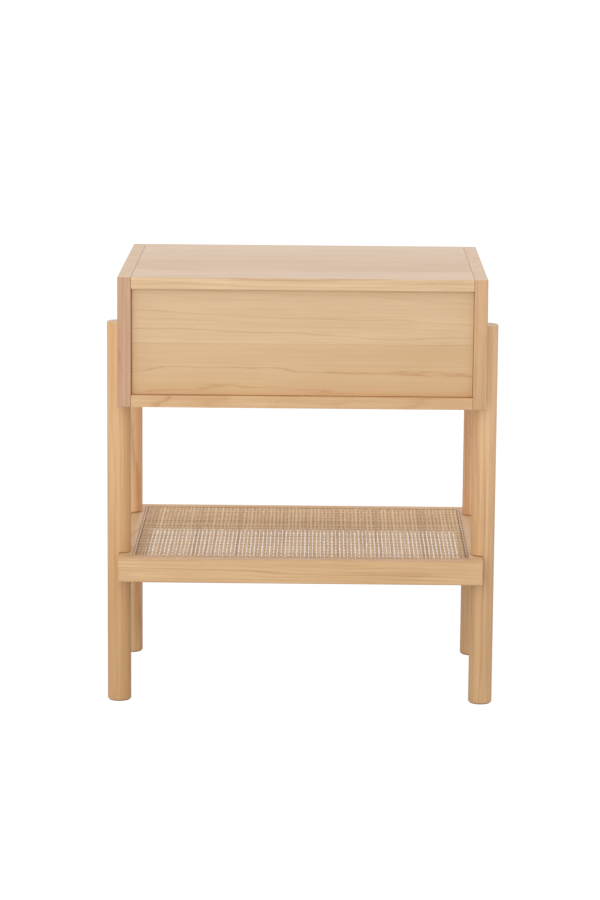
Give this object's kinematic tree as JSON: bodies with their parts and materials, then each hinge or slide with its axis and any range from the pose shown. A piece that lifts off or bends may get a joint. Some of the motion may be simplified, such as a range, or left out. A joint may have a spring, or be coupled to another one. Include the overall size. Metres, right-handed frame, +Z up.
{
  "type": "nightstand",
  "caption": "Pale wood nightstand: an open-edged case with a handle-less push-to-open drawer, carried by round legs over a woven cane shelf.",
  "frame": {"origin": "on the floor under the middle of the nightstand, as wide and as deep to each side", "axes": "+X to the right for a person facing the drawer, -Y out of the drawer front, +Z up"},
  "size_m": [0.5006, 0.36, 0.56],
  "materials": {
    "case_wood": "clear matt lacquer",
    "leg_wood": "clear matt lacquer",
    "shelf_wood": "clear matt lacquer",
    "drawer_front_wood": "clear matt lacquer",
    "drawer_box_wood": "thin clear lacquer",
    "plywood": "thin clear lacquer",
    "cane": "bare, peeled",
    "reed_spline": "bare, sanded",
    "dowel_wood": "bare",
    "screw_steel": "zinc plated",
    "slide_steel": "zinc plated",
    "plastic": "moulded",
    "felt": "pressed felt"
  },
  "bodies": {
    "case": {"case_side_left": "case_wood", "case_side_right": "case_wood", "case_top": "case_wood", "case_bottom": "case_wood", "case_back": "case_wood", "leg_front_left": "leg_wood", "leg_front_right": "leg_wood", "leg_back_left": "leg_wood", "leg_back_right": "leg_wood", "glide_front_left": "felt", "glide_front_right": "felt", "glide_back_left": "felt", "glide_back_right": "felt", "shelf_rail_front": "shelf_wood", "shelf_rail_back": "shelf_wood", "shelf_rail_left": "shelf_wood", "shelf_rail_right": "shelf_wood", "cane_webbing": "cane", "cane_spline_front": "reed_spline", "cane_spline_back": "reed_spline", "cane_spline_left": "reed_spline", "cane_spline_right": "reed_spline", "case_screw_front_left_lower": "screw_steel", "case_screw_front_left_upper": "screw_steel", "case_screw_back_left_lower": "screw_steel", "case_screw_back_left_upper": "screw_steel", "case_screw_front_right_lower": "screw_steel", "case_screw_front_right_upper": "screw_steel", "case_screw_back_right_lower": "screw_steel", "case_screw_back_right_upper": "screw_steel", "shelf_screw_front_left": "screw_steel", "shelf_screw_back_left": "screw_steel", "shelf_screw_front_right": "screw_steel", "shelf_screw_back_right": "screw_steel", "dowel_bottom_front_left": "dowel_wood", "dowel_top_front_left": "dowel_wood", "dowel_bottom_back_left": "dowel_wood", "dowel_top_back_left": "dowel_wood", "dowel_bottom_front_right": "dowel_wood", "dowel_top_front_right": "dowel_wood", "dowel_bottom_back_right": "dowel_wood", "dowel_top_back_right": "dowel_wood", "slide_case_rail_left": "slide_steel", "slide_case_rail_right": "slide_steel", "latch_housing": "plastic"},
    "drawer": {"drawer_front": "drawer_front_wood", "drawer_side_left": "drawer_box_wood", "drawer_side_right": "drawer_box_wood", "drawer_back": "drawer_box_wood", "drawer_bottom": "plywood", "slide_drawer_rail_left": "slide_steel", "slide_drawer_rail_right": "slide_steel", "latch_strike_plate": "slide_steel"},
    "slide_middle_left": {"slide_middle_rail_left": "slide_steel"},
    "slide_middle_right": {"slide_middle_rail_right": "slide_steel"},
    "plunger": {"latch_plunger": "plastic"}
  },
  "joints": [
    {"name": "drawer_slide", "type": "slide", "parent": "case", "child": "drawer", "axis": [0, -1, 0], "range_m": [0, 0.24]},
    {"name": "middle_rail_left_slide", "type": "slide", "parent": "case", "child": "slide_middle_left", "axis": [0, -1, 0], "range_m": [0, 0.12]},
    {"name": "middle_rail_right_slide", "type": "slide", "parent": "case", "child": "slide_middle_right", "axis": [0, -1, 0], "range_m": [0, 0.12]},
    {"name": "plunger_press", "type": "slide", "parent": "case", "child": "plunger", "axis": [0, 1, 0], "range_m": [0, 0.003], "stiffness_N_per_m": 500, "springref_m": -0.004}
  ],
  "couplings": [
    {"joint": "middle_rail_left_slide", "follows": "drawer_slide", "ratio": 0.5},
    {"joint": "middle_rail_right_slide", "follows": "drawer_slide", "ratio": 0.5}
  ]
}
